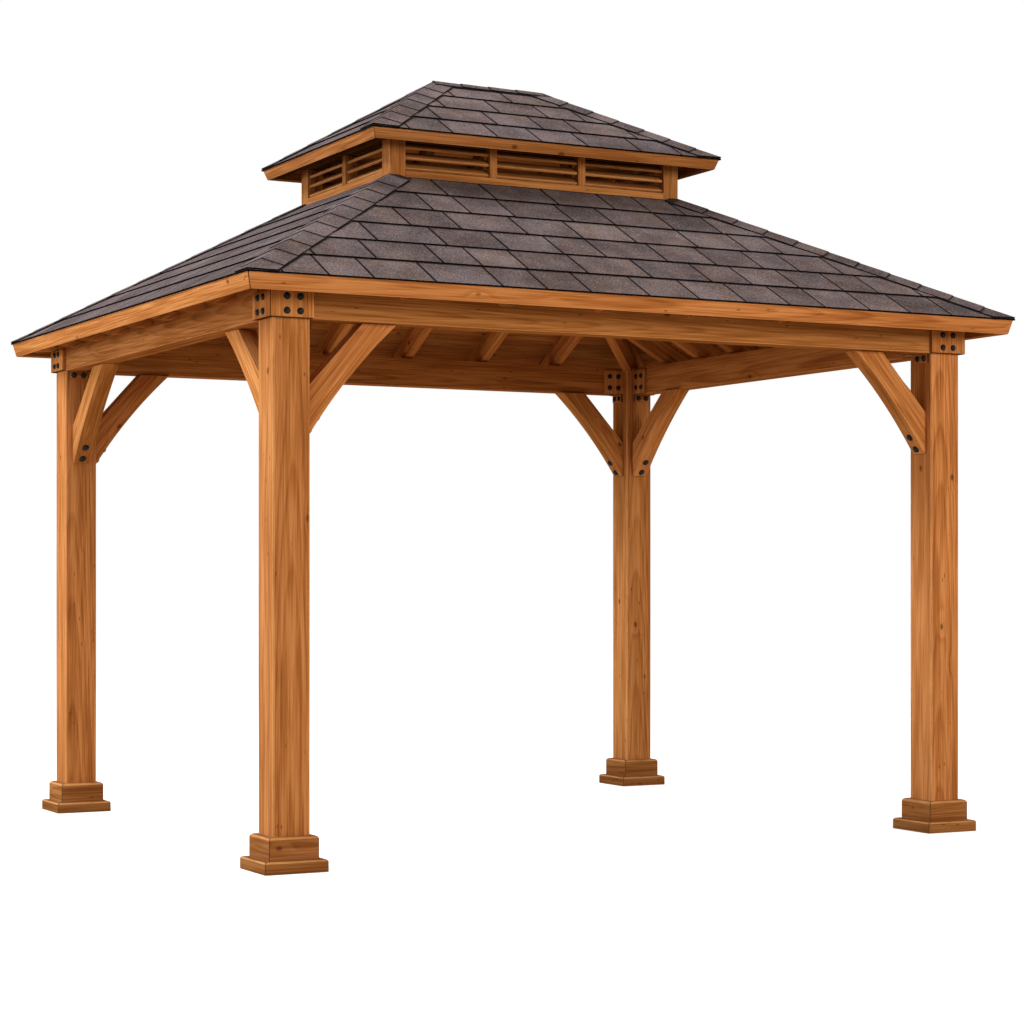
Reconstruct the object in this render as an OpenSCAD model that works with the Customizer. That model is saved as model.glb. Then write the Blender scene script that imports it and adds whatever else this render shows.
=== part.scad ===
// Garden gazebo: four posts, a hipped roof and a louvered cupola with its own hipped roof.
// X runs along the long side, the front faces -Y, and the origin is on the ground at the centre.

/* [Posts] */
// Width of each square post
post_w = 150; // [135:1:180]
// Post centre to post centre along the long side
post_span_x = 3050; // [2700:10:3800]
// Post centre to post centre along the short side
post_span_y = 2580; // [2400:10:3400]
// Clear height under the beams
clear_h = 2068; // [1900:1:2400]
// Chamfer along the upright edges of a post
post_chamfer = 5; // [2:0.5:10]

/* [Base trim] */
// How far the skirt boards stand out from the post
skirt_t = 53; // [40:1:80]
// Height of the skirt boards
skirt_h = 47; // [30:1:80]
// Chamfer along the top of the skirt boards
skirt_chamfer = 5; // [1:0.5:10]
// How far the collar boards stand out from the post
collar_t = 26; // [18:1:36]
// Height of the collar boards above the skirt
collar_h = 88; // [60:1:140]
// Rounding along the top of the collar boards
collar_round = 13; // [4:1:16]

/* [Beams] */
// Thickness of the beams
beam_t = 95; // [75:1:110]
// Height of the beams
beam_h = 140; // [125:1:200]
// Thickness of the outer corner plates
plate_t = 20; // [10:1:30]
// How far an outer corner plate laps on to the beam
plate_lap = 8; // [2:1:40]
// Gap between an outer corner plate and the rafter tails over it
plate_gap = 3; // [1:0.5:10]
// Thickness of the inner plates
inner_plate_t = 16; // [8:1:22]
// Length of the inner plates along the beam
inner_plate_w = 110; // [80:1:160]
// Height of the inner plates
inner_plate_h = 127; // [90:1:140]
// Width of the bearing cleats under the beam ends
cleat_w = 91; // [60:1:94]
// Height of the bearing cleats
cleat_h = 40; // [25:1:60]
// Thickness of the bearing cleats
cleat_t = 10; // [6:1:30]
// How far the middle of a cleat lies inside the middle of its beam
cleat_inset = 14; // [0:1:30]

/* [Braces] */
// Thickness of the knee braces
brace_t = 80; // [50:1:100]
// Reach of a brace along the beam on the long sides
brace_reach = 375; // [280:1:450]
// Reach of a brace along the beam on the short sides
side_brace_reach = 445; // [280:1:500]
// Drop of a brace down the post
brace_drop = 432; // [380:1:550]
// Length of the cut that bears on the beam
brace_head = 142; // [100:1:160]
// Length of the cut that bears on the post
brace_foot = 176; // [140:1:220]
// Width of the blunt toe
brace_toe = 11; // [4:1:20]
// How far the underside arches above its chord
brace_arch = 18; // [10:1:40]

/* [Main roof] */
// Slope of the main roof in degrees
pitch = 29; // [24:0.5:35]
// From the outer face of a post to the top edge of the fascia
eave_overhang = 165; // [120:1:260]
// Plan length of each slope, from the eave to the cupola
roof_run = 1050; // [950:5:1120]
// Width of the rafters
rafter_w = 40; // [30:1:50]
// Depth of the rafters
rafter_h = 100; // [80:1:130]
// Depth of the seat that a rafter has over the beam
seat_depth = 37; // [20:1:45]
// Spacing of the rafters on the long sides
rafter_step_x = 430; // [300:5:600]
// Spacing of the rafters on the short sides
rafter_step_y = 320; // [250:5:600]
// Width of the hip rafters
hip_w = 45; // [35:1:60]
// Depth of the hip rafters
hip_h = 165; // [150:1:190]
// Thickness of the sheathing boards
deck_t = 15; // [10:1:22]
// Thickness of the shingle covering
shingle_t = 8; // [6:0.5:16]
// How far the shingle covering reaches past the fascia
drip = 5; // [4:1:25]
// Height of the fascia boards
fascia_h = 64; // [50:1:90]
// Thickness of the fascia boards
fascia_t = 20; // [12:1:30]
// Lean of the fascia boards in degrees, the foot inwards
fascia_lean = 14; // [0:0.5:25]

/* [Cupola] */
// Width of the curb that the rafters run up to
curb_t = 75; // [75:1:100]
// Height of the curb
curb_h = 135; // [120:1:200]
// Height of the cupola walls, from the curb to the top of the wall plate
cupola_h = 194; // [180:1:320]
// Width of the cupola's corner posts
cupola_post_w = 75; // [62:1:75]
// Depth of the louvered walls
cupola_wall_t = 60; // [50:1:62]
// Height of the sill boards
sill_h = 32; // [24:1:45]
// Height of the wall plates over the louvers
top_plate_h = 30; // [20:1:45]
// Width of the mullions between the louver bays
mullion_w = 35; // [25:1:50]
// Louver bays on each long side
bays_long = 3; // [2:1:5]
// Louver bays on each short side
bays_short = 2; // [1:1:4]
// Slats in each bay
slats = 3; // [2:1:4]
// Thickness of a slat
slat_t = 12; // [8:0.5:14]
// Tilt of the slats in degrees, the outer edge down
slat_tilt = 35; // [25:1:50]
// Height left free between one slat and the next
slat_gap = 4; // [2:0.5:8]

/* [Cupola roof] */
// Slope of the cupola roof's long sides in degrees
upper_pitch = 29; // [24:0.5:35]
// From the cupola wall to the top edge of its fascia
upper_overhang = 135; // [90:1:170]
// Length of the ridge
ridge_len = 560; // [300:5:700]
// Thickness of the ridge board
ridge_t = 22; // [16:1:35]
// Height of the ridge board
ridge_h = 70; // [50:1:100]
// Depth of the cupola's rafters
upper_rafter_h = 50; // [45:1:80]
// Depth of the seat that a cupola rafter has over the wall plate
upper_seat = 15; // [8:1:20]
// Height of the cupola's fascia boards
upper_fascia_h = 48; // [40:1:70]
// Lean of the cupola's fascia boards in degrees, the foot inwards
upper_fascia_lean = 20; // [0:0.5:25]

/* [Hidden] */
$fn = 96;

// Joint left open between mitred boards
joint = 0.4;
// Overrun of every cut
cut = 20;

// Half sizes of the frame
half_x = post_span_x / 2;
half_y = post_span_y / 2;
face_x = half_x + post_w / 2;
face_y = half_y + post_w / 2;
beam_top = clear_h + beam_h;

// Main roof, measured from the eave: w runs inwards, and a drop is measured straight down
slope = tan(pitch);
deck_drop = deck_t / cos(pitch);
rafter_drop = rafter_h / cos(pitch);
shingle_rise = shingle_t / cos(pitch);
eave_x = face_x + eave_overhang;
eave_y = face_y + eave_overhang;
tail_z = beam_top - seat_depth;
eave_z = tail_z + rafter_drop + deck_drop - eave_overhang * slope;
plate_h = beam_h - seat_depth - plate_gap;
hip_slope = atan(slope / sqrt(2));
hip_drop = hip_h / cos(hip_slope);
hip_inset = hip_w / sqrt(2);

// Cupola
wall_x = eave_x - roof_run;
wall_y = eave_y - roof_run;
curb_top = eave_z + roof_run * slope;
sill_top = curb_top + sill_h;
wall_top = curb_top + cupola_h;
plate_bottom = wall_top - top_plate_h;
slat_pitch = (plate_bottom - sill_top) / slats;
slat_w = (slat_pitch - slat_gap - slat_t * cos(slat_tilt)) / sin(slat_tilt);

// Cupola roof
upper_slope = tan(upper_pitch);
upper_deck_drop = deck_t / cos(upper_pitch);
upper_rafter_drop = upper_rafter_h / cos(upper_pitch);
upper_shingle_rise = shingle_t / cos(upper_pitch);
upper_x = wall_x + upper_overhang;
upper_y = wall_y + upper_overhang;
upper_tail_z = wall_top - upper_seat;
upper_z = upper_tail_z + upper_rafter_drop + upper_deck_drop - upper_overhang * upper_slope;
ridge_x = ridge_len / 2;
ridge_z = upper_z + upper_y * upper_slope;
end_slope = (ridge_z - upper_z) / (upper_x - ridge_x);
upper_hip_turn = atan2(upper_y, upper_x - ridge_x);
roof_top = ridge_z + shingle_t + cut;

wood = "peru";
wood_trim = "sienna";
wood_pale = "burlywood";
covering = "dimgray";

// Shared placing

// Puts a piece drawn at the +X +Y post, with the post's centre as its origin, at any corner
module at_corner(sx, sy)
    mirror([sx < 0 ? 1 : 0, 0, 0])
        mirror([0, sy < 0 ? 1 : 0, 0])
            translate([half_x, half_y, 0])
                children();

module at_corners()
    for (sx = [-1, 1], sy = [-1, 1])
        at_corner(sx, sy) children();

// Turns a piece drawn for the front to side 0 front, 1 right, 2 back or 3 left
module at_side(side)
    rotate([0, 0, 90 * side]) children();

// Extrudes a section along the front: its x is the distance out from the centre, its y is height
module along_front(half_length)
    rotate([90, 0, -90])
        linear_extrude(2 * half_length, center = true)
            children();

// Upright block over a trapezoid on the front side, from one distance and half length to another
module front_wedge(d_in, half_in, d_out, half_out)
    linear_extrude(roof_top)
        polygon([[-half_in, -d_in], [half_in, -d_in], [half_out, -d_out], [-half_out, -d_out]]);

// Upright block over a rectangle
module block(x0, x1, y0, y1, z0, z1)
    translate([x0, y0, z0])
        cube([x1 - x0, y1 - y0, z1 - z0]);

// Posts

module chamfered_square(size, chamfer) {
    h = size / 2;
    k = h - chamfer;
    polygon([[k, -h], [h, -k], [h, k], [k, h], [-k, h], [-h, k], [-h, -k], [-k, -h]]);
}

module post(sx, sy)
    color(wood)
        at_corner(sx, sy)
            linear_extrude(beam_top)
                chamfered_square(post_w, post_chamfer);

module front_left_post() post(-1, -1);
module front_right_post() post(1, -1);
module back_left_post() post(-1, 1);
module back_right_post() post(1, 1);

// Base trim: four mitred boards a tier

module mitred_boards(thickness) {
    inner = post_w / 2;
    outer = inner + thickness;
    for (side = [0:3])
        at_side(side)
            intersection() {
                along_front(outer)
                    translate([inner, 0])
                        children();
                front_wedge(inner, inner - joint, outer, outer - joint);
            }
}

module skirt_section()
    polygon([
        [0, 0], [skirt_t, 0], [skirt_t, skirt_h - skirt_chamfer],
        [skirt_t - skirt_chamfer, skirt_h], [0, skirt_h]
    ]);

module collar_section()
    translate([0, skirt_h]) {
        square([collar_t, collar_h - collar_round]);
        square([collar_t - collar_round, collar_h]);
        translate([collar_t - collar_round, collar_h - collar_round])
            circle(collar_round);
    }

module base_skirts()
    color(wood_trim)
        at_corners()
            mitred_boards(skirt_t)
                skirt_section();

module base_collars()
    color(wood_trim)
        at_corners()
            mitred_boards(collar_t)
                collar_section();

// Beams, flush with the outer faces of the posts

module beam(side) {
    long_side = side % 2 == 0;
    face = long_side ? face_y : face_x;
    half = (long_side ? half_x : half_y) - post_w / 2;
    color(wood)
        at_side(side)
            block(-half, half, -face, beam_t - face, clear_h, beam_top);
}

module front_beam() beam(0);
module right_beam() beam(1);
module back_beam() beam(2);
module left_beam() beam(3);

// Outer corner plates, mitred at the corner of the post

module corner_plate() {
    near = post_w / 2;
    far = near + plate_t;
    translate([0, 0, clear_h])
        linear_extrude(plate_h)
            polygon([
                [-near - plate_lap, near], [near - joint, near],
                [far - joint, far], [-near - plate_lap, far]
            ]);
}

module corner_plates(sx, sy)
    color(wood_pale)
        at_corner(sx, sy) {
            corner_plate();
            mirror([1, -1, 0]) corner_plate();
        }

module front_left_corner_plates() corner_plates(-1, -1);
module front_right_corner_plates() corner_plates(1, -1);
module back_left_corner_plates() corner_plates(-1, 1);
module back_right_corner_plates() corner_plates(1, 1);

// Inner plates and bearing cleats, one at each beam end

module at_beam_ends()
    at_corners() {
        children();
        mirror([1, -1, 0]) children();
    }

module inner_plates() {
    near = post_w / 2;
    back = near - beam_t;
    color(wood_pale)
        at_beam_ends()
            block(-near - inner_plate_w, -near, back - inner_plate_t, back,
                  clear_h, clear_h + inner_plate_h);
}

module bearing_cleats() {
    near = post_w / 2;
    middle = near - beam_t / 2 - cleat_inset;
    color(wood_pale)
        at_beam_ends()
            block(-near - cleat_t, -near, middle - cleat_w / 2, middle + cleat_w / 2,
                  clear_h - cleat_h, clear_h);
}

// Knee braces: straight above, arched below

// Section of a brace: x is the distance from the post, y is the drop under the beam
module brace_section(along) {
    run = along - brace_toe;
    chord = norm([run, brace_drop]);
    radius = (chord * chord / 4 + brace_arch * brace_arch) / (2 * brace_arch);
    reach = radius - brace_arch;
    middle = [(along + brace_toe) / 2, -brace_drop / 2];
    away = [brace_drop, -run] / chord;
    difference() {
        polygon([
            [along - brace_head, 0], [along, 0], [brace_toe, -brace_drop],
            [0, -brace_drop], [0, brace_foot - brace_drop]
        ]);
        translate(middle + reach * away)
            circle(radius, $fn = 360);
    }
}

module brace(along)
    translate([-post_w / 2, 0, clear_h])
        mirror([1, 0, 0])
            rotate([90, 0, 0])
                linear_extrude(brace_t, center = true)
                    brace_section(along);

module braces(sx, sy)
    color(wood)
        at_corner(sx, sy) {
            brace(brace_reach);
            mirror([1, -1, 0]) brace(side_brace_reach);
        }

module front_left_braces() braces(-1, -1);
module front_right_braces() braces(1, -1);
module back_left_braces() braces(-1, 1);
module back_right_braces() braces(1, 1);

// Slope sections, common to both roofs

// Inset and drop of the inner foot of a leaning fascia board from its top outer edge
function foot_inset(height, lean) = height * sin(lean) + fascia_t * cos(lean);
function foot_drop(height, lean) = height * cos(lean) - fascia_t * sin(lean);

// Inset of the fascia's inner face at a given drop under the eave
function inner_inset(height, lean, drop) =
    foot_inset(height, lean) + (drop - foot_drop(height, lean)) * tan(lean);

// Inset at which a plane that lies under the top of the slope by a drop meets the fascia
function slope_inset(height, lean, incline, drop) =
    inner_inset(height, lean, drop) / (1 + incline * tan(lean));

// Section of a leaning fascia board, its top cut to the slope
function fascia_points(eave, z, incline, height, lean) =
    let (top = slope_inset(height, lean, incline, 0))
    [
        [eave, z],
        [eave - height * sin(lean), z - height * cos(lean)],
        [eave - foot_inset(height, lean), z - foot_drop(height, lean)],
        [eave - top, z + top * incline]
    ];

// Section of the sheathing between the fascia and the head of the slope
function sheathing_points(eave, run, z, incline, drop, height, lean) =
    let (
        top = slope_inset(height, lean, incline, 0),
        low = slope_inset(height, lean, incline, drop)
    )
    [
        [eave - top, z + top * incline], [eave - run, z + run * incline],
        [eave - run, z + run * incline - drop], [eave - low, z + low * incline - drop]
    ];

// Section of the shingle covering from the drip edge to the head of the slope
function covering_points(eave, run, z, incline, rise) = [
    [eave + drip, z - drip * incline], [eave + drip, z - drip * incline + rise],
    [eave - run, z + run * incline + rise], [eave - run, z + run * incline]
];

// Section of all the room under the sheathing and between the fascias, from a given height up
function zone_points(eave, z, incline, deck, floor_z, height, lean) =
    let (
        low = slope_inset(height, lean, incline, deck),
        foot = inner_inset(height, lean, z - floor_z)
    )
    [
        [eave - foot, floor_z], [eave - low, z + low * incline - deck],
        [0, z + eave * incline - deck],
        [low - eave, z + low * incline - deck], [foot - eave, floor_z]
    ];

// Section of a rafter: a straight board in that room, seated over the wall
module rafter_section(eave, run, z, incline, deck, depth, wall, wall_t, seat_z, height, lean) {
    level = z - foot_drop(height, lean);
    difference() {
        intersection() {
            polygon([
                [eave, z], [eave - run, z + run * incline],
                [eave - run, z + run * incline - deck - depth], [eave, z - deck - depth]
            ]);
            polygon(zone_points(eave, z, incline, deck, level, height, lean));
        }
        translate([wall - wall_t, level - cut])
            square([wall_t, seat_z - level + cut]);
    }
}

// Main roof

function main_eave(side) = side % 2 == 0 ? eave_y : eave_x;
function main_half(side) = side % 2 == 0 ? eave_x : eave_y;

// Cuts a slope's layer to its hips: inset is left free along the eave at each hip
module main_slope(side, inset, past) {
    eave = main_eave(side);
    half = main_half(side);
    at_side(side)
        intersection() {
            along_front(half + past) children();
            front_wedge(eave - roof_run, half - roof_run - inset, eave + past, half + past - inset);
        }
}

module main_sheathing(side)
    color(wood)
        main_slope(side, joint, 0)
            polygon(sheathing_points(main_eave(side), roof_run, eave_z, slope, deck_drop,
                                     fascia_h, fascia_lean));

module front_sheathing() main_sheathing(0);
module right_sheathing() main_sheathing(1);
module back_sheathing() main_sheathing(2);
module left_sheathing() main_sheathing(3);

module main_shingles(side)
    color(covering)
        main_slope(side, joint, drip)
            polygon(covering_points(main_eave(side), roof_run, eave_z, slope, shingle_rise));

module front_shingles() main_shingles(0);
module right_shingles() main_shingles(1);
module back_shingles() main_shingles(2);
module left_shingles() main_shingles(3);

module main_fascia()
    color(wood)
        for (side = [0:3])
            main_slope(side, joint, 0)
                polygon(fascia_points(main_eave(side), eave_z, slope, fascia_h, fascia_lean));

// One rafter of a slope, at a place along the eave, cut off at the hip rafters
module main_rafter(side, place) {
    eave = main_eave(side);
    half = main_half(side);
    at_side(side)
        intersection() {
            translate([place, 0, 0])
                along_front(rafter_w / 2)
                    rafter_section(eave, roof_run, eave_z, slope, deck_drop, rafter_drop,
                                   eave - eave_overhang, beam_t, beam_top, fascia_h, fascia_lean);
            front_wedge(eave - roof_run, half - roof_run - hip_inset, eave, half - hip_inset);
        }
}

module long_side_rafters() {
    pairs = floor((half_x - post_w / 2 - rafter_w) / rafter_step_x + 1 / 2);
    color(wood)
        for (side = [0, 2], i = [1:pairs], way = [-1, 1])
            main_rafter(side, way * (i - 1 / 2) * rafter_step_x);
}

module short_side_rafters() {
    pairs = floor((half_y - post_w / 2 - rafter_w) / rafter_step_y);
    color(wood)
        for (side = [1, 3], i = [-pairs:pairs])
            main_rafter(side, i * rafter_step_y);
}

module main_zone()
    intersection() {
        along_front(eave_x)
            polygon(zone_points(eave_y, eave_z, slope, deck_drop, tail_z, fascia_h, fascia_lean));
        at_side(1)
            along_front(eave_y)
                polygon(zone_points(eave_x, eave_z, slope, deck_drop, tail_z, fascia_h, fascia_lean));
    }

// Hip rafter: a deep board on the diagonal, backed to both slopes and notched over the post
module hip_rafter() {
    head = roof_run * sqrt(2) + hip_w / 2;
    foot_z = eave_z - deck_drop - hip_drop;
    difference() {
        intersection() {
            translate([eave_x, eave_y, 0])
                rotate([90, 0, 225])
                    linear_extrude(hip_w, center = true)
                        polygon([
                            [0, foot_z], [head, foot_z + head * tan(hip_slope)],
                            [head, roof_top], [0, roof_top]
                        ]);
            main_zone();
        }
        block(half_x - post_w / 2, face_x, half_y - post_w / 2, face_y, 0, beam_top);
        block(-wall_x, wall_x, -wall_y, wall_y, 0, roof_top);
    }
}

module hip_rafters()
    color(wood)
        for (sx = [0, 1], sy = [0, 1])
            mirror([sx, 0, 0])
                mirror([0, sy, 0])
                    hip_rafter();

// Cupola

// Ring of four mitred boards on the cupola's wall line
module wall_ring(width, z0, z1)
    for (side = [0:3]) {
        out = side % 2 == 0 ? wall_y : wall_x;
        half = side % 2 == 0 ? wall_x : wall_y;
        at_side(side)
            intersection() {
                front_wedge(out - width, half - width - joint, out, half - joint);
                block(-half, half, -out, out, z0, z1);
            }
    }

module cupola_curb()
    color(wood)
        wall_ring(curb_t, curb_top - curb_h, curb_top);

module cupola_wall_plates()
    color(wood)
        wall_ring(cupola_post_w, plate_bottom, wall_top);

module cupola_posts()
    color(wood)
        for (sx = [0, 1], sy = [0, 1])
            mirror([sx, 0, 0])
                mirror([0, sy, 0])
                    block(wall_x - cupola_post_w, wall_x, wall_y - cupola_post_w, wall_y,
                          curb_top, plate_bottom);

function wall_out(side) = side % 2 == 0 ? wall_y : wall_x;
function wall_half(side) = (side % 2 == 0 ? wall_x : wall_y) - cupola_post_w;
function bay_count(side) = side % 2 == 0 ? bays_long : bays_short;
function bay_w(side) =
    (2 * wall_half(side) - (bay_count(side) - 1) * mullion_w) / bay_count(side);
function bay_start(side, bay) = bay * (bay_w(side) + mullion_w) - wall_half(side);

module cupola_sills()
    color(wood)
        for (side = [0:3])
            at_side(side)
                block(-wall_half(side), wall_half(side), -wall_out(side),
                      cupola_wall_t - wall_out(side), curb_top, sill_top);

module cupola_mullions()
    color(wood)
        for (side = [0:3])
            for (bay = [1:1:bay_count(side) - 1])
                at_side(side)
                    block(bay_start(side, bay) - mullion_w, bay_start(side, bay), -wall_out(side),
                          cupola_wall_t - wall_out(side), sill_top, plate_bottom);

module louvers(side)
    color(wood)
        at_side(side)
            for (bay = [0:bay_count(side) - 1], row = [0:slats - 1])
                translate([bay_start(side, bay) + bay_w(side) / 2, 0, sill_top + (row + 1 / 2) * slat_pitch])
                    along_front(bay_w(side) / 2)
                        translate([wall_out(side) - cupola_wall_t / 2, 0])
                            rotate(-slat_tilt)
                                square([slat_w, slat_t], center = true);

module front_louvers() louvers(0);
module right_louvers() louvers(1);
module back_louvers() louvers(2);
module left_louvers() louvers(3);

// Cupola roof: the long slopes meet at the ridge, the end slopes at its ends

function upper_eave(side) = side % 2 == 0 ? upper_y : upper_x;
function upper_half(side) = side % 2 == 0 ? upper_x : upper_y;
function upper_incline(side) = side % 2 == 0 ? upper_slope : end_slope;
function upper_run(side) = side % 2 == 0 ? upper_y : upper_x - ridge_x;
function head_half(side) = side % 2 == 0 ? ridge_x : 0;
function spread(side) = (upper_half(side) - head_half(side)) / upper_run(side);

// Cuts a slope's layer to its hips, with half a joint left free at each hip and at the ridge
module upper_layer(side, past) {
    eave = upper_eave(side);
    half = upper_half(side);
    head = side % 2 == 0 ? joint : eave - upper_run(side) + joint / spread(side);
    head_width = head_half(side) + (head - eave + upper_run(side)) * spread(side) - joint;
    at_side(side)
        intersection() {
            along_front(half + past) children();
            front_wedge(head, head_width, eave + past, half + past * spread(side) - joint);
        }
}

module cupola_sheathing()
    color(wood)
        for (side = [0:3])
            upper_layer(side, 0)
                polygon(sheathing_points(upper_eave(side), upper_run(side), upper_z, upper_incline(side),
                                         upper_deck_drop, upper_fascia_h, upper_fascia_lean));

module cupola_shingles()
    color(covering)
        for (side = [0:3])
            upper_layer(side, drip)
                polygon(covering_points(upper_eave(side), upper_run(side), upper_z, upper_incline(side),
                                        upper_shingle_rise));

module cupola_fascia()
    color(wood)
        for (side = [0:3])
            upper_layer(side, 0)
                polygon(fascia_points(upper_eave(side), upper_z, upper_incline(side),
                                      upper_fascia_h, upper_fascia_lean));

// Room under the cupola's sheathing, from a given height up
module upper_zone(floor_z)
    intersection() {
        along_front(upper_x)
            polygon(zone_points(upper_y, upper_z, upper_slope, upper_deck_drop, floor_z,
                                upper_fascia_h, upper_fascia_lean));
        at_side(1)
            along_front(upper_y)
                polygon(zone_points(upper_x, upper_z, end_slope, upper_deck_drop, floor_z,
                                    upper_fascia_h, upper_fascia_lean));
    }

module upper_hip_rafter() {
    head = (upper_y - rafter_w / 2 * cos(upper_hip_turn)) / sin(upper_hip_turn);
    foot_z = upper_z - upper_deck_drop - upper_rafter_drop;
    difference() {
        intersection() {
            translate([upper_x, upper_y, 0])
                rotate([90, 0, 180 + upper_hip_turn])
                    linear_extrude(rafter_w, center = true)
                        polygon([
                            [0, foot_z], [head, foot_z + head * sin(upper_hip_turn) * upper_slope],
                            [head, roof_top], [0, roof_top]
                        ]);
            upper_zone(upper_z - foot_drop(upper_fascia_h, upper_fascia_lean));
        }
        block(wall_x - cupola_post_w, wall_x, wall_y - cupola_post_w, wall_y, 0, wall_top);
        block(-upper_x, upper_x, -ridge_t / 2, ridge_t / 2, 0, roof_top);
    }
}

module upper_rafter(side, place)
    at_side(side)
        translate([place, 0, 0])
            along_front(rafter_w / 2)
                rafter_section(upper_y, upper_y - ridge_t / 2, upper_z, upper_slope,
                               upper_deck_drop, upper_rafter_drop, wall_y, cupola_post_w, wall_top,
                               upper_fascia_h, upper_fascia_lean);

module cupola_rafters()
    color(wood) {
        for (sx = [0, 1], sy = [0, 1])
            mirror([sx, 0, 0])
                mirror([0, sy, 0])
                    upper_hip_rafter();
        for (side = [0, 2], way = [-1, 1])
            upper_rafter(side, way * ridge_x / 2);
    }

module cupola_ridge_board() {
    past = ridge_t / 2 / tan(upper_hip_turn) + rafter_w / 2 / sin(upper_hip_turn);
    color(wood)
        intersection() {
            block(-ridge_x - past, ridge_x + past, -ridge_t / 2, ridge_t / 2,
                  ridge_z - upper_deck_drop - ridge_h, ridge_z);
            upper_zone(curb_top);
        }
}

front_left_post();
front_right_post();
back_left_post();
back_right_post();
base_skirts();
base_collars();
front_beam();
right_beam();
back_beam();
left_beam();
front_left_corner_plates();
front_right_corner_plates();
back_left_corner_plates();
back_right_corner_plates();
inner_plates();
bearing_cleats();
front_left_braces();
front_right_braces();
back_left_braces();
back_right_braces();
hip_rafters();
long_side_rafters();
short_side_rafters();
front_sheathing();
right_sheathing();
back_sheathing();
left_sheathing();
front_shingles();
right_shingles();
back_shingles();
left_shingles();
main_fascia();
cupola_curb();
cupola_posts();
cupola_sills();
cupola_mullions();
cupola_wall_plates();
front_louvers();
right_louvers();
back_louvers();
left_louvers();
cupola_rafters();
cupola_ridge_board();
cupola_sheathing();
cupola_shingles();
cupola_fascia();
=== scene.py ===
# %% [markdown]
# # A timber garden gazebo with a louvered cupola
# The gazebo has four square posts, a ring of beams, curved knee braces and two hipped roofs.
# Its carpentry comes in as a fixed frame of solids, one node for each kind of piece.
# This lesson dresses that frame: eased edges and wood grain on every board, shingles in courses,
# bolts on the plates, and a plain studio to see it in.

# %% Load the frame
import math
from dataclasses import dataclass

import bpy
import numpy as np
from mathutils import Matrix, Vector


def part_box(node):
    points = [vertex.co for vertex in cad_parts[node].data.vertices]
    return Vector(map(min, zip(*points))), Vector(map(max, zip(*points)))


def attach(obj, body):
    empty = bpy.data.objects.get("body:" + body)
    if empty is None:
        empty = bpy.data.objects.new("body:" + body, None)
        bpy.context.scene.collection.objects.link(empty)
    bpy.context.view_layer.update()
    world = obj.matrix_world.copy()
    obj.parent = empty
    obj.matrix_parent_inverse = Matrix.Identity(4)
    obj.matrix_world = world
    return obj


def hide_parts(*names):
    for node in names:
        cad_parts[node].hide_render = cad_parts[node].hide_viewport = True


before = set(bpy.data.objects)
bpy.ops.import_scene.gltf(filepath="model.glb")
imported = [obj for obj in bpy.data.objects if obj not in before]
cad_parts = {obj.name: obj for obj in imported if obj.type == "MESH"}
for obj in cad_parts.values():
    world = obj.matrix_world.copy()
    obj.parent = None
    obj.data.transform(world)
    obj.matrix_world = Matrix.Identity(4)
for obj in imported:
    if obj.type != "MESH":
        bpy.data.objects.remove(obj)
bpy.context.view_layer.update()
print("nodes in the frame:", len(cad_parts))

# %% [markdown]
# ## The camera
# The posts stay parallel in the picture, so the camera is level and the view is raised by shifting
# the lens, as with an architect's camera. Tilting the camera up would make the posts lean together.
# The place and the focal length come from lining up the corners of the frame with the picture.

# %% Camera
IMAGE_SIDE_PX = 1024
FOCAL_PX = 2354.4
HORIZON_PX = 576.9
CAMERA_TURN = math.radians(27.8)
CAMERA_PLACE = (-4.893, -9.514, 1.102)

bpy.ops.object.camera_add(location=CAMERA_PLACE, rotation=(math.pi / 2, 0, -CAMERA_TURN))
camera = bpy.context.object
camera.name = "picture_camera"
camera.data.lens = camera.data.sensor_width * FOCAL_PX / IMAGE_SIDE_PX
camera.data.shift_y = HORIZON_PX / IMAGE_SIDE_PX - 1 / 2
bpy.context.scene.camera = camera
bpy.context.scene.view_settings.view_transform = "Standard"
print(f"lens {camera.data.lens:.1f} mm, shift {camera.data.shift_y:.3f}")

# %% [markdown]
# ## Small helpers for shader nodes
# A shader tree is many small nodes. These helpers add one node in one line: an input can be given
# a plain value or the socket that it follows, so that a tree reads like a sum.

# %% Helpers for single nodes
def put(tree, kind, feeds=None, **settings):
    """Adds a node. feeds gives inputs, by name or number, a socket to follow or a plain value."""
    made = tree.nodes.new(kind)
    for key, value in settings.items():
        setattr(made, key, value)
    for socket, value in (feeds or {}).items():
        if isinstance(value, bpy.types.NodeSocket):
            tree.links.new(value, made.inputs[socket])
        else:
            made.inputs[socket].default_value = value
    return made


def sums(tree, operation, *terms):
    """A math node's result."""
    return put(tree, "ShaderNodeMath", dict(enumerate(terms)), operation=operation).outputs[0]


def times(tree, first, second):
    """A product."""
    return sums(tree, "MULTIPLY", first, second)


def shared(tree, first, second, share):
    """A share of one value and the rest of another."""
    return sums(tree, "MULTIPLY_ADD", first, share, times(tree, second, 1 - share))


def vectors(tree, operation, *terms):
    """A vector math node's resulting vector."""
    return put(tree, "ShaderNodeVectorMath", dict(enumerate(terms)), operation=operation).outputs[0]


def length_of(tree, vector):
    """How long a vector is."""
    return put(tree, "ShaderNodeVectorMath", {0: vector}, operation="LENGTH").outputs["Value"]


def split(tree, vector):
    """The three parts of a vector."""
    return put(tree, "ShaderNodeSeparateXYZ", {0: vector}).outputs


def remap(tree, value, low, high, to_low=0.0, to_high=1.0):
    """Smoothly maps the stretch from low to high on to another stretch, and holds the ends."""
    feeds = {"Value": value, "From Min": low, "From Max": high, "To Min": to_low, "To Max": to_high}
    return put(tree, "ShaderNodeMapRange", feeds, interpolation_type="SMOOTHSTEP").outputs[0]


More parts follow.
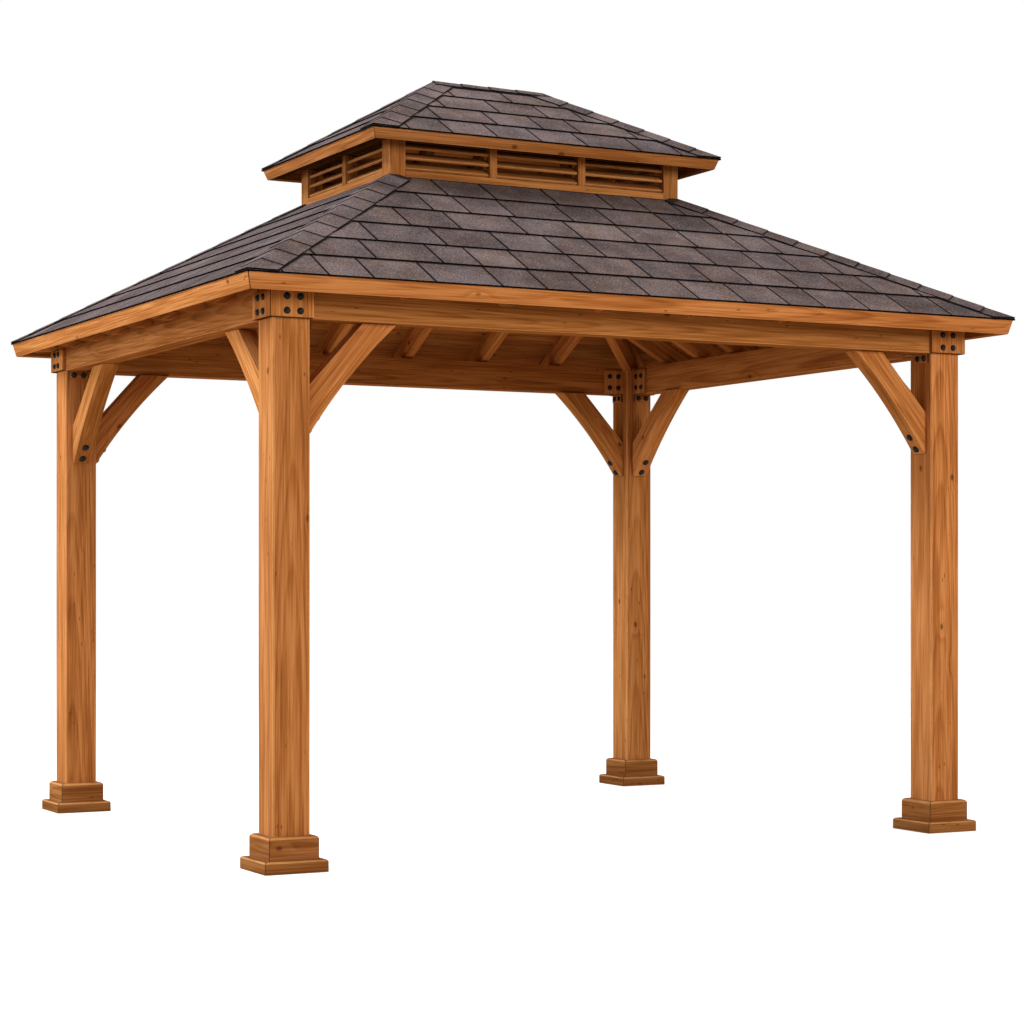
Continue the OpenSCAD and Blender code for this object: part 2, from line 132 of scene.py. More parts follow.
def cloud(tree, place, scale=1.0, detail=2.0, roughness=0.5):
    """Soft noise: its value and its colour."""
    feeds = {"Vector": place, "Scale": scale, "Detail": detail, "Roughness": roughness}
    made = put(tree, "ShaderNodeTexNoise", feeds)
    return made.outputs["Fac"], made.outputs["Color"]


def colour_steps(tree, value, colours, positions=(0.0, 0.5, 1.0)):
    """A colour ramp through colours at positions."""
    made = put(tree, "ShaderNodeValToRGB", {"Fac": value})
    ramp = made.color_ramp
    while len(ramp.elements) < len(positions):
        ramp.elements.new(1.0)
    for element, position, colour in zip(ramp.elements, positions, colours):
        element.position = position
        element.color = (*colour, 1.0)
    return made.outputs["Color"]


def mixed(tree, factor, first, second):
    """One colour blended with another. A Mix node's colours are inputs 6 and 7 and output 2."""
    given = (first, second)
    first, second = [one if isinstance(one, bpy.types.NodeSocket) else (*one, 1.0) for one in given]
    return put(tree, "ShaderNodeMix", {0: factor, 6: first, 7: second}, data_type="RGBA").outputs[2]


print("helpers for single nodes ready")

# %% Helpers for groups and materials
def open_group(name, inputs):
    """A new shader group, and the sockets that give its named inputs."""
    group = bpy.data.node_groups.new(name, "ShaderNodeTree")
    for label, kind in inputs.items():
        group.interface.new_socket(label, in_out="INPUT", socket_type=kind)
    return group, group.nodes.new("NodeGroupInput").outputs


def close_group(group, results):
    """Gives a group an output for each named result."""
    for label in results:
        group.interface.new_socket(label, in_out="OUTPUT", socket_type="NodeSocketFloat")
    put(group, "NodeGroupOutput", results)
    print(f"{group.name} group has {len(group.nodes)} nodes")
    return group


def new_material(name):
    """A material with an empty tree, and that tree."""
    made = bpy.data.materials.new(name)
    made.use_nodes = True
    made.node_tree.nodes.clear()
    return made, made.node_tree


def close_material(tree, shader):
    """Ends a material's tree with its shader."""
    put(tree, "ShaderNodeOutputMaterial", {"Surface": shader})


def close_surface(tree, colour, rough, shine, height=None, relief=None):
    """Ends a material's tree with a plain surface. relief is the strength and the depth of its bumps."""
    feeds = {"Base Color": colour, "Roughness": rough, "Specular IOR Level": shine}
    if relief:
        strength, depth = relief
        bump = put(tree, "ShaderNodeBump", {"Height": height, "Strength": strength, "Distance": depth})
        feeds["Normal"] = bump.outputs[0]
    close_material(tree, put(tree, "ShaderNodeBsdfPrincipled", feeds).outputs[0])


def stored(tree, label, output="Vector"):
    """A value that is stored on the points of a mesh."""
    return put(tree, "ShaderNodeAttribute", attribute_name=label).outputs[output]


print("helpers for groups and materials ready")

# %% [markdown]
# ## The studio
# The gazebo stands on a pale floor under soft light.
# A floor that is white to every ray would light the roof from below, where the real one is dark.
# So the camera and reflections see a white floor and sky, and other rays meet duller ones.
# The floor still takes the shadow of the gazebo.

# %% Studio floor and sky
FLOOR_SIDE = 90.0
FLOOR_PALE = (0.5, 0.5, 0.5, 1.0)
FLOOR_DULL = (0.52, 0.40, 0.27, 1.0)
FLOOR_GLOW = 0.80
SKY_COLOUR = (1.0, 0.97, 0.92, 1.0)
SKY_STRENGTH = 0.45
SKY_WHITE = (1.0, 1.0, 1.0, 1.0)


def by_sight(tree, lighting, seen):
    """One shader for rays that carry light, and another for the camera and for reflections."""
    path = put(tree, "ShaderNodeLightPath").outputs
    direct = sums(tree, "MAXIMUM", path["Is Camera Ray"], path["Is Glossy Ray"])
    direct = sums(tree, "MAXIMUM", direct, path["Is Transmission Ray"])
    return put(tree, "ShaderNodeMixShader", {0: direct, 1: lighting, 2: seen}).outputs[0]


def floor_material():
    """White with a shadow to the camera, duller to the light that bounces."""
    made, tree = new_material("studio_floor")
    pale = put(tree, "ShaderNodeBsdfDiffuse", {"Color": FLOOR_PALE}).outputs[0]
    glow = put(tree, "ShaderNodeEmission", {"Strength": FLOOR_GLOW}).outputs[0]
    bright = put(tree, "ShaderNodeAddShader", {0: pale, 1: glow}).outputs[0]
    dull = put(tree, "ShaderNodeBsdfDiffuse", {"Color": FLOOR_DULL}).outputs[0]
    close_material(tree, by_sight(tree, dull, bright))
    return made


def build_sky():
    """A soft sky that the camera sees as white."""
    world = bpy.data.worlds.new("studio_sky")
    world.use_nodes = True
    tree = world.node_tree
    tree.nodes.clear()
    soft = put(tree, "ShaderNodeBackground", {"Color": SKY_COLOUR, "Strength": SKY_STRENGTH}).outputs[0]
    white = put(tree, "ShaderNodeBackground", {"Color": SKY_WHITE, "Strength": 1.0}).outputs[0]
    put(tree, "ShaderNodeOutputWorld", {"Surface": by_sight(tree, soft, white)})
    bpy.context.scene.world = world


bpy.ops.object.select_all(action="DESELECT")
bpy.ops.mesh.primitive_plane_add(size=FLOOR_SIDE)
floor = bpy.context.object
floor.name = "studio_floor"
floor.data.materials.append(floor_material())
build_sky()
print("floor side:", FLOOR_SIDE, "m")

# %% [markdown]
# ## Lamps
# Sunlight would be as strong on the far posts as on the near ones. Big square lamps fade with
# distance, as in a studio. On the left one stands low, to shine in under the roof, and one high, so
# that the eaves shade the beams but not the posts. One stands in front, and one above and a little
# behind, so that the cupola shades the roof below it.
# Two small lamps low under the roof, with a narrow spread, fill in the far posts and not the beams.

# %% Lamps
MIDDLE = (0.0, 0.0, 1.3)
BLUE_WHITE = (0.90, 1.0, 1.12)
COOL_WHITE = (0.92, 0.97, 1.0)
WARM_WHITE = (1.0, 0.95, 0.88)


def softbox(name, place, aim, side, power, colour, spread=180):
    """A square lamp that faces a point, gives light within so many degrees and isn't seen itself."""
    way = Vector(aim) - Vector(place)
    turn = way.to_track_quat("-Z", "Y").to_euler()
    bpy.ops.object.light_add(type="AREA", location=place, rotation=turn)
    lamp = bpy.context.object
    lamp.name = name
    lamp.visible_camera = False
    lamp.data.shape = "SQUARE"
    lamp.data.size = side
    lamp.data.energy = power
    lamp.data.color = colour
    lamp.data.spread = math.radians(spread)
    print(f"{name}: {power} W, {way.length:.1f} m away")


softbox("left_lamp", (-13.0, 0.6, 2.9), MIDDLE, side=3.0, power=640, colour=BLUE_WHITE)
softbox("high_left_lamp", (-9.0, 1.2, 9.0), MIDDLE, side=4.0, power=980, colour=BLUE_WHITE)
softbox("front_lamp", (3.5, -12.0, 4.4), MIDDLE, side=4.0, power=740, colour=WARM_WHITE)
softbox("top_lamp", (0.0, 1.4, 9.0), MIDDLE, side=4.0, power=360, colour=COOL_WHITE)
for fill_name, fill_y in (("front_fill_lamp", -0.9), ("back_fill_lamp", 0.9)):
    fill_aim = (1.5, fill_y, 0.8)
    softbox(fill_name, (-1.0, fill_y, 0.7), fill_aim, side=0.5, power=3.5, colour=BLUE_WHITE, spread=50)

# %% [markdown]
# ## Wood grain
# The timber is stained softwood. On a real board the grain is a slice through growth rings, so the
# pattern is made the same way: rings round a pith beside the board, swaying and tapering along its
# length, which gives the pointed arches of a flat-sawn face. A knot pushes the rings aside.
# It is one node group, because every wooden finish uses it. It reads each board's own coordinates.

# %% Scattered knots
@dataclass
class Pattern:
    """How fine a pattern is along, across and through a board, and how far random numbers move it."""

    stretch: tuple
    step: float
    detail: float = 2.0


KNOTS = Pattern((4.4, 8.5, 8.5), 50.0)
KNOT_HEART = (0.021, 0.0135, 0.0135)
KNOT_SWIRL = (0.095, 0.032, 0.032)
PINS = Pattern((11.0, 22.0, 22.0), 70.0)
PIN_HEART = (0.013, 0.0042, 0.0042)


def shifted(tree, board, seed, pattern):
    """A board's coordinates, stretched, and moved by its random numbers so that no two boards match."""
    spread = vectors(tree, "MULTIPLY", board, pattern.stretch)
    moved = vectors(tree, "MULTIPLY", seed, (pattern.step,) * 3)
    return vectors(tree, "ADD", spread, moved)


def from_spot(tree, board, seed, pattern):
    """The way from the nearest of many scattered spots, with so many spots to the metre."""
    place = shifted(tree, board, seed, pattern)
    spot = put(tree, "ShaderNodeTexVoronoi", {"Vector": place, "Scale": 1.0}).outputs["Position"]
    return vectors(tree, "DIVIDE", vectors(tree, "SUBTRACT", place, spot), pattern.stretch)


def within(tree, way, half_sizes, full=0.35):
    """1 in the middle of an egg with these half sizes, falling to 0 at its edge."""
    reach = length_of(tree, vectors(tree, "DIVIDE", way, half_sizes))
    return remap(tree, reach, 1.0, full)


print("knots are up to", 2000 * KNOT_HEART[0], "mm long")

# %% Board grain group
# A range gives remap its two ends, and where they aren't 0 and 1, the ends that it maps them on to.
SWAY = Pattern((0.4, 1.2, 1.2), 30.0)
SWAY_REACH = 0.04
WOBBLE = Pattern((1.1, 12.0, 12.0), 80.0, detail=3.0)
WOBBLE_RINGS = 0.7
STREAKS = Pattern((1.7, 24.0, 24.0), 20.0, detail=3.0)
STREAK_SHARE = 0.5
FIBRE = Pattern((3.5, 130.0, 130.0), 60.0)
FIBRE_RELIEF = 0.6
HIGHLIGHT_PATCHES = Pattern((14.0, 60.0, 60.0), 40.0)
HIGHLIGHT_PATCH_RANGE = (0.25, 0.6, 0.4, 1.0)
PITH_LOW = (0.0, -0.045, 0.060)
PITH_SPREAD = (0.0, 0.09, 0.045)
KNOT_PUSH = 0.004
PIN_SHARE = 0.9
TREE_TAPER = 0.012
RING_PHASES = (0.0, 0.5, 0.86, 1.0)
RING_SHADES = (0.95, 0.74, 0.10, 0.95)


def ring_radius(tree, board, half, seed):
    """How far a point lies from the pith, which sways a little beyond the board's face."""
    sway = cloud(tree, shifted(tree, board, seed, SWAY), detail=SWAY.detail)[1]
    sway = vectors(tree, "SUBTRACT", sway, (0.5, 0.5, 0.5))
    sway = vectors(tree, "MULTIPLY", sway, (0.0, SWAY_REACH, SWAY_REACH))
    nearest = vectors(tree, "MULTIPLY_ADD", half, (0.0, 0.0, 1.0), PITH_LOW)
    pith = vectors(tree, "MULTIPLY_ADD", seed, PITH_SPREAD, nearest)
    reach = vectors(tree, "SUBTRACT", vectors(tree, "ADD", board, sway), pith)
    return length_of(tree, vectors(tree, "MULTIPLY", reach, (0.0, 1.0, 1.0)))


def build_board_grain():
    """The group: growth rings, soft streaks, knots, patches that break up the painted edge highlight, and a
    height for bump.
    """
    kinds = {label: "NodeSocketVector" for label in ("Board", "Half", "Seed")}
    group, given = open_group("board_grain", {**kinds, "Ring Width": "NodeSocketFloat"})
    board, half, seed = given["Board"], given["Half"], given["Seed"]
    knot_way = from_spot(group, board, seed, KNOTS)
    pins = within(group, from_spot(group, board, seed, PINS), PIN_HEART)
    knots = sums(group, "MAXIMUM", within(group, knot_way, KNOT_HEART), times(group, pins, PIN_SHARE))
    radius = ring_radius(group, board, half, seed)
    radius = sums(group, "MULTIPLY_ADD", split(group, board)[0], TREE_TAPER, radius)
    radius = sums(group, "MULTIPLY_ADD", within(group, knot_way, KNOT_SWIRL, 0.0), KNOT_PUSH, radius)
    wobble, broad, fibre, patches = [
        cloud(group, shifted(group, board, seed, pattern), detail=pattern.detail)[0]
        for pattern in (WOBBLE, STREAKS, FIBRE, HIGHLIGHT_PATCHES)
    ]
    phase = sums(group, "DIVIDE", radius, given["Ring Width"])
    phase = sums(group, "FRACT", sums(group, "MULTIPLY_ADD", wobble, WOBBLE_RINGS, phase))
    rings = colour_steps(group, phase, [(shade,) * 3 for shade in RING_SHADES], RING_PHASES)
    return close_group(group, {
        "Rings": rings,
        "Streaks": shared(group, broad, fibre, STREAK_SHARE),
        "Knots": knots,
        "Highlight Patches": remap(group, patches, *HIGHLIGHT_PATCH_RANGE),
        "Height": shared(group, fibre, rings, FIBRE_RELIEF),
    })


board_grain = build_board_grain()

# %% [markdown]
# ## Wooden finishes
# The stain soaks deeper into the soft early wood, and each board takes it a little differently.
# A finish mixes three tones by the grain, darkens the knots, and shifts the tone from board to board.
# Along the eased edges a painted highlight, broken into patches, shows as pale lines. The ends soak
# up the most, so they are nearly black, and a joint between two boards is a dark line.
# Each finish is the same stain, thinner or thicker: thickest on the timbers inside the cupola, a
# nearly black copy that is painted shade. The darker copies on the beams and the cupola trim are
# painted shade too, and the lighter copy on the braces is painted light.

# %% Wood materials
# A draw multiplies a board's random number by its first value and adds its second.
STAIN_TONES = ((0.23, 0.072, 0.017), (0.42, 0.158, 0.042), (0.60, 0.262, 0.088))
STREAK_RANGE = (0.34, 0.66)
RING_WIDTH = 0.0050
RING_SHARE = 0.36
KNOT_COLOUR = (0.080, 0.025, 0.008)
KNOT_SHARE = 0.75
HUE_DRAW = (0.004, 0.497)
VALUE_DRAW = (0.20, 0.90)
EDGE_HIGHLIGHT_COLOUR = (0.70, 0.32, 0.115)
JOINT_AND_SHADE_COLOUR = (0.030, 0.009, 0.003)
JOINT_AND_SHADE_SHARE = 0.9
WOOD_ROUGH = (0.70, 0.60)
WOOD_RELIEF = (0.25, 0.0012)
MATT = 0.0


def wood_material(name, strength=1.0, edge_highlight_share=0.8):
    """Stained wood on each board's own coordinates. A low strength is a thick dark stain and a high one a
    light stain; on some finishes they are painted shade and painted light.
    """
    made, tree = new_material(name)
    board, half, seed = [stored(tree, label) for label in ("board_at", "board_half", "board_seed")]
    feeds = {"Board": board, "Half": half, "Seed": seed, "Ring Width": RING_WIDTH}
    grain = put(tree, "ShaderNodeGroup", feeds, node_tree=board_grain)
    rings, streaks, knots, highlight_patches, height = grain.outputs
    tone = shared(tree, rings, remap(tree, streaks, *STREAK_RANGE), RING_SHARE)
    stains = [[strength * share for share in shade] for shade in STAIN_TONES]
    colour = colour_steps(tree, tone, stains)
    colour = mixed(tree, times(tree, knots, KNOT_SHARE), colour, KNOT_COLOUR)
    draw = split(tree, seed)
    feeds = {
        "Color": colour,
        "Hue": sums(tree, "MULTIPLY_ADD", draw[0], *HUE_DRAW),
        "Value": sums(tree, "MULTIPLY_ADD", draw[2], *VALUE_DRAW),
    }
    colour = put(tree, "ShaderNodeHueSaturation", feeds).outputs[0]
    # Painted highlight: pale lines along the eased edges, broken into patches.
    worn = times(tree, highlight_patches, stored(tree, "board_edge", "Fac"))
    colour = mixed(tree, times(tree, worn, edge_highlight_share), colour, EDGE_HIGHLIGHT_COLOUR)
    # The joint mark also carries painted shade, which darkens the louver slats towards their upper edges.
    joint = times(tree, stored(tree, "joint_and_painted_shade", "Fac"), JOINT_AND_SHADE_SHARE)
    colour = mixed(tree, joint, colour, JOINT_AND_SHADE_COLOUR)
    rough = remap(tree, rings, 0.0, 1.0, *WOOD_ROUGH)
    close_surface(tree, colour, rough, MATT, height, WOOD_RELIEF)
    return made


timber = wood_material("stained_timber")
trim = wood_material("stained_trim", strength=1.02)
# Painted shade: the beams and the cupola trim get darker copies of the stain. Painted light: the braces get
# a lighter copy.
shaded_beam_wood = wood_material("stained_beams_painted_shade", strength=0.87)
lit_brace_wood = wood_material("stained_braces_painted_light", strength=1.08)
painted_shade_cupola_trim = wood_material("stained_cupola_trim_painted_shade", strength=0.86)
collar_wood = wood_material("stained_collars", strength=0.68, edge_highlight_share=0.7)
skirt_wood = wood_material("stained_skirts", strength=0.60, edge_highlight_share=0.7)
deck_wood = wood_material("roof_boards", strength=0.84, edge_highlight_share=0.0)
louver_wood = wood_material("louver_wood", strength=0.80, edge_highlight_share=0.85)
# Painted shade: the timbers inside the cupola get a nearly black stain.
painted_shade_wood = wood_material("roof_timber_painted_shade", strength=0.25, edge_highlight_share=0.0)
print("materials so far:", ", ".join(made.name for made in bpy.data.materials))

# %% [markdown]
# ## Working copies of the frame's boards
# A solid from the frame has perfectly sharp edges, and a real board doesn't: its edges are eased so
# that they don't splinter. So each wooden node is copied, its loose triangles are merged into clean
# faces, and a small bevel eases its edges. The copy then stands for the node.
# Every loose board in a copy also gets its own grain coordinates, kept as attributes on the mesh.

# %% Copying and easing
MERGE_REACH = 0.00005
FLAT_ANGLE = math.radians(0.6)
EDGE_ANGLE = math.radians(32)


def take_up(piece):
    """Selects one piece alone and makes it active."""
    bpy.ops.object.select_all(action="DESELECT")
    piece.select_set(True)
    bpy.context.view_layer.objects.active = piece


def merged_copy(node, name):
    """A copy of a node's mesh with its triangles merged and its flat faces made whole."""
    piece = bpy.data.objects.new(name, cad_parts[node].data.copy())
    bpy.context.scene.collection.objects.link(piece)
    piece.data.materials.clear()
    take_up(piece)
    bpy.ops.mesh.customdata_custom_splitnormals_clear()
    bpy.ops.object.mode_set(mode="EDIT")
    bpy.ops.mesh.select_all(action="SELECT")
    bpy.ops.mesh.remove_doubles(threshold=MERGE_REACH)
    bpy.ops.mesh.dissolve_limited(angle_limit=FLAT_ANGLE)
    bpy.ops.object.mode_set(mode="OBJECT")
    return piece


def pick_points(piece, wanted):
    """Goes into edit mode with only the vertices selected whose place passes a test."""
    take_up(piece)
    bpy.ops.object.mode_set(mode="EDIT")
    bpy.ops.mesh.select_mode(type="VERT")
    bpy.ops.mesh.select_all(action="DESELECT")
    bpy.ops.object.mode_set(mode="OBJECT")
    for vertex in piece.data.vertices:
        vertex.select = wanted(vertex.co)
    bpy.ops.object.mode_set(mode="EDIT")


def ease_edges(piece, width, material):
    """Gives a piece its finish and rounds its edges. The rounds get a second slot, to be known by."""
    take_up(piece)
    for _ in range(2):
        piece.data.materials.append(material)
    bevel = piece.modifiers.new("eased_edges", "BEVEL")
    bevel.width = width
    bevel.segments = 2
    bevel.limit_method = "ANGLE"
    bevel.angle_limit = EDGE_ANGLE
    bevel.material = 1
    bpy.ops.object.modifier_apply(modifier=bevel.name)
    bpy.ops.object.shade_smooth_by_angle(angle=EDGE_ANGLE)


print("copies are merged within", MERGE_REACH * 1000, "mm")

# %% Grain coordinates
SNAP = 0.97
SQUARE_SHARE = 1.25
GRAIN_SEED = 11
grain_dice = np.random.default_rng(GRAIN_SEED)


def board_numbers(mesh):
    """Numbers each vertex by the loose board that it belongs to."""
    edges = np.zeros(len(mesh.edges) * 2, int)
    mesh.edges.foreach_get("vertices", edges)
    first, second = edges.reshape(-1, 2).T
    numbers = np.arange(len(mesh.vertices))
    while True:
        lowest = np.minimum(numbers[first], numbers[second])
        after = numbers.copy()
        np.minimum.at(after, first, lowest)
        np.minimum.at(after, second, lowest)
        after = after[after]
        if (after == numbers).all():
            return numbers
        numbers = after


def snapped(axis):
    """An axis that points the positive way, made exactly straight if it nearly is."""
    main = np.abs(axis).argmax()
    return np.eye(3)[main] if abs(axis[main]) > SNAP else axis * np.sign(axis[main])


def board_axes(points):
    """Unit axes along, across and through a board, from the spread of its points."""
    spreads, ways = np.linalg.eigh(np.cov(points.T))
    length = snapped(ways[:, 2])
    guide = ways[:, 1]
    if spreads[1] < SQUARE_SHARE * spreads[0]:
        guide = np.eye(3)[0 if abs(length[2]) > SNAP else 2]
    width = guide - guide.dot(length) * length
    width = snapped(width / np.linalg.norm(width))
    return np.array([length, width, np.cross(length, width)])


def store(mesh, name, rows):
    """Stores one value or one vector for each vertex."""
    kind, key = ("FLOAT", "value") if rows.ndim == 1 else ("FLOAT_VECTOR", "vector")
    made = mesh.attributes.new(name, kind, "POINT")
    made.data.foreach_set(key, rows.astype(np.float32).ravel())


print("grain is drawn from seed", GRAIN_SEED)

# %% Marks on boards
END_FACING = 0.65
MITRE_SLACK = 0.1


def mark_edges_and_joints(mesh, lengths, upright):
    """Marks the middle of eased edges, and a board's ends and an upright board's mitre as joints."""
    edges = np.ones(len(mesh.vertices))
    joints = np.zeros(len(mesh.vertices))
    on_mitre = np.zeros(len(mesh.vertices), bool)
    for face in mesh.polygons:
        corners = list(face.vertices)
        ends = abs(face.normal.dot(lengths[corners[0]])) > END_FACING
        mitred = upright and abs(abs(face.normal.x) - abs(face.normal.y)) < MITRE_SLACK
        if ends or mitred:
            joints[corners] = 1.0
        if face.material_index == 0:
            edges[corners] = 0.0
            on_mitre[corners] |= mitred
    # The rounds beside a mitre belong to it, so that two plates meet in a dark line.
    for face in mesh.polygons:
        corners = np.array(face.vertices)
        if on_mitre[corners].any():
            joints[corners[edges[corners] > 0]] = 1.0
    store(mesh, "board_edge", edges)
    store(mesh, "joint_and_painted_shade", joints)
    mesh.materials.pop(index=1)


def mark_boards(piece, upright=False):
    """Gives every loose board its own coordinates and random numbers. Returns how many there are."""
    mesh = piece.data
    places = np.array([vertex.co for vertex in mesh.vertices])
    numbers = board_numbers(mesh)
    local, halves, seeds, lengths = [np.zeros_like(places) for _ in range(4)]
    for number in np.unique(numbers):
        chosen = numbers == number
        axes = np.eye(3)[[2, 0, 1]] if upright else board_axes(places[chosen])
        points = places[chosen] @ axes.T
        low, high = points.min(0), points.max(0)
        local[chosen] = points - (low + high) / 2
        halves[chosen] = (high - low) / 2
        seeds[chosen] = grain_dice.random(3)
        lengths[chosen] = axes[0]
    for label, rows in (("board_at", local), ("board_half", halves), ("board_seed", seeds)):
        store(mesh, label, rows)
    mark_edges_and_joints(mesh, lengths, upright)
    return len(np.unique(numbers))


def stand_for(piece, node):
    """Lets a finished piece stand for a node of the frame, on the gazebo's one body."""
    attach(piece, "root")
    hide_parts(node)


def finish_boards(piece, node, material, edge, upright=False):
    """Eases a piece's edges, marks its boards, gives it its finish and lets it stand for its node."""
    ease_edges(piece, edge, material)
    boards = mark_boards(piece, upright)
    stand_for(piece, node)
    print(f"{piece.name}: {boards} boards, {len(piece.data.polygons)} faces")


def dress(nodes, material, edge, upright=False):
    """Makes an eased copy of each node in a list, and gives the copies."""
    pieces = [merged_copy(node, node + "_wood") for node in nodes]
    for piece, node in zip(pieces, nodes):
        finish_boards(piece, node, material, edge, upright)
    return pieces


CORNERS = ("front_left", "front_right", "back_left", "back_right")
SIDES = ("front", "right", "back", "left")
print(len(CORNERS), "corners and", len(SIDES), "sides to dress")

# %% [markdown]
# ## Posts and base trim
# The posts are solid square timbers with planed corners. Each stands in a stepped base: a low skirt
# of four mitred boards and a taller collar with a rounded top. The joints between the boards show
# as dark lines, because easing both boards leaves a small groove there. The top rounds look up at
# a slant and carry a painted highlight, a pale line along them.

# %% Posts
dress([f"{corner}_post" for corner in CORNERS], timber, edge=0.004)

# %% Base boards
ROUND_FACING = (0.40, 0.88)


def paint_highlight_on_top_rounds(piece):
    """Marks the faces that look up at a slant, on the top rounds and chamfers, for the painted edge
    highlight.
    """
    marks = piece.data.attributes["board_edge"].data
    for face in piece.data.polygons:
        if ROUND_FACING[0] < face.normal.z < ROUND_FACING[1]:
            for corner in face.vertices:
                marks[corner].value = 1.0


for base_node, base_wood in (("base_skirts", skirt_wood), ("base_collars", collar_wood)):
    for base_boards in dress([base_node], base_wood, edge=0.0025):
        paint_highlight_on_top_rounds(base_boards)

# %% [markdown]
# ## Beams, plates and braces
# The beams sit between the posts, flush outside. Wooden plates cover the joints: mitred pairs on the
# outer corners, flat plates inside, and small cleats under the beam ends. The knee braces are sawn
# from thick stock, with an arched underside. The corner plates are short offcuts with upright grain.

# %% Beams and braces
dress([f"{side}_beam" for side in SIDES], shaded_beam_wood, edge=0.0035)
dress([f"{corner}_braces" for corner in CORNERS], lit_brace_wood, edge=0.0035)

# %% Plates and cleats
dress([f"{corner}_corner_plates" for corner in CORNERS], trim, edge=0.004, upright=True)
dress(["inner_plates", "bearing_cleats"], trim, edge=0.002)

# %% [markdown]
# ## Roof timbers and fascia
# Rafters run up from the beams to a curb that carries the cupola. The fascia boards lean outwards
# under the eaves and are mitred at the corners. All of them are plain sawn boards.
# The timbers inside the cupola get a nearly black stain, painted shade, so that they don't show between the
# slats.

# %% Rafters and curb
dress(["hip_rafters", "long_side_rafters", "short_side_rafters", "cupola_curb"], timber, edge=0.002)
dress(["cupola_rafters", "cupola_ridge_board", "cupola_wall_plates"], painted_shade_wood, edge=0.002)

# %% Fascia boards
dress(["main_fascia"], trim, edge=0.004)
dress(["cupola_fascia"], painted_shade_cupola_trim, edge=0.003)

# %% [markdown]
# ## Cupola walls
# Slats fill the walls between small posts and mullions. A slat leans, with its lower edge outside.
# Its upper edge lies deep inside, in shade, so each slat fades to black upwards: painted shade.
# The fade uses the mark for dark joints and painted shade, set on the upper edge and not the lower one.

# %% Cupola walls
def paint_shade_on_upper_edges(piece):
    """Paints shade on each slat: its finish fades to the dark of a joint towards its upper edge."""
    mesh = piece.data
    heights = np.array([vertex.co.z for vertex in mesh.vertices])
    numbers = board_numbers(mesh)
    marks = mesh.attributes["joint_and_painted_shade"].data
    for number in np.unique(numbers):
        slat = np.flatnonzero(numbers == number)
        middle = (heights[slat].min() + heights[slat].max()) / 2
        for index in slat[heights[slat] > middle]:
            marks[index].value = 1.0


dress(["cupola_posts", "cupola_sills", "cupola_mullions"], painted_shade_cupola_trim, edge=0.002)
for slats in dress([f"{side}_louvers" for side in SIDES], louver_wood, edge=0.005):
    paint_shade_on_upper_edges(slats)

# %% [markdown]
# ## Roof planes
# Everything on the roofs lies on eight planes: four of the main roof and four of the cupola's.
# A small record holds one plane: it is thought of as facing the front, and is then turned to its
# side. It can place things on itself and knows the upright planes that cut them off at its hips.

# %% Roof planes
@dataclass
class RoofPlane:
    """One slope of a hipped roof, measured from the middle of its eave."""

    name: str
    turn: float
    eave: float
    half: float
    run: float
    head_half: float
    foot_z: float
    rise: float

    @property
    def incline(self):
        return math.atan2(self.rise, self.run)

    @property
    def length(self):
        return math.hypot(self.run, self.rise)

    def place(self, x, up, lift, swing=0.0, tilt=0.0):
        """The matrix that puts a thing x along the eave, up the slope and above it."""
        foot = Matrix.Translation((0, -self.eave, self.foot_z)) @ Matrix.Rotation(self.incline, 4, "X")
        own = Matrix.Translation((x, up, lift)) @ Matrix.Rotation(swing, 4, "Z")
        own = own @ Matrix.Rotation(-tilt, 4, "X")
        return Matrix.Rotation(self.turn, 4, "Z") @ foot @ own

    def cuts(self, past):
        """Points and normals of the planes at both hips, the head and the edge past the eave."""
        turn = Matrix.Rotation(self.turn, 3, "Z")
        narrowing = self.half - self.head_half
        flat = [
            ((self.half, -self.eave, 0), (self.run, narrowing, 0)),
            ((-self.half, -self.eave, 0), (-self.run, narrowing, 0)),
            ((0, self.run - self.eave, 0), (0, 1, 0)),
            ((0, -self.eave - past, 0), (0, -1, 0)),
        ]
        return [(turn @ Vector(point), turn @ Vector(normal).normalized()) for point, normal in flat]


print("a roof plane is kept as", ", ".join(RoofPlane.__annotations__))

# %% Measure the roofs
PITCH = math.radians(29)
RIDGE_HALF = 0.280

main_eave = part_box("main_fascia")[1]
upper_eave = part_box("cupola_fascia")[1]
covering_low, covering_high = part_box("front_shingles")
DRIP = -covering_low.y - main_eave.y
main_run = main_eave.y + covering_high.y
main_rise = main_run * math.tan(PITCH)
main_foot = covering_low.z + DRIP * math.tan(PITCH)
covering_rise = covering_high.z - covering_low.z - (main_run + DRIP) * math.tan(PITCH)
ridge_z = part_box("cupola_shingles")[1].z - covering_rise
upper_rise = upper_eave.y * math.tan(PITCH)
upper_foot = ridge_z - upper_rise


def roof_planes(kind, front, right, foot_z, rise):
    """The four planes of a roof. front and right each give an eave, a half, a run and a half head."""
    return [
        RoofPlane(f"{side}_{kind}", number * math.pi / 2, *(front, right)[number % 2], foot_z, rise)
        for number, side in enumerate(SIDES)
    ]


main_front = (main_eave.y, main_eave.x, main_run, main_eave.x - main_run)
main_right = (main_eave.x, main_eave.y, main_run, main_eave.y - main_run)
upper_front = (upper_eave.y, upper_eave.x, upper_eave.y, RIDGE_HALF)
upper_right = (upper_eave.x, upper_eave.y, upper_eave.x - RIDGE_HALF, 0.0)
main_planes = roof_planes("main", main_front, main_right, main_foot, main_rise)
upper_planes = roof_planes("upper", upper_front, upper_right, upper_foot, upper_rise)
for plane in (main_planes[0], upper_planes[0], upper_planes[1]):
    print(f"{plane.name}: {plane.length:.3f} m up the slope at {math.degrees(plane.incline):.1f} degrees")

# %% [markdown]
# ## Roof boards
# Seen from below, each slope is a deck of boards laid along the eaves. The frame has one slab for
# each slope, so a copy of the slab is cut into boards with the bisect tool: two cuts for each board,
# a little apart. The eased edges then meet in a groove, as between real boards.

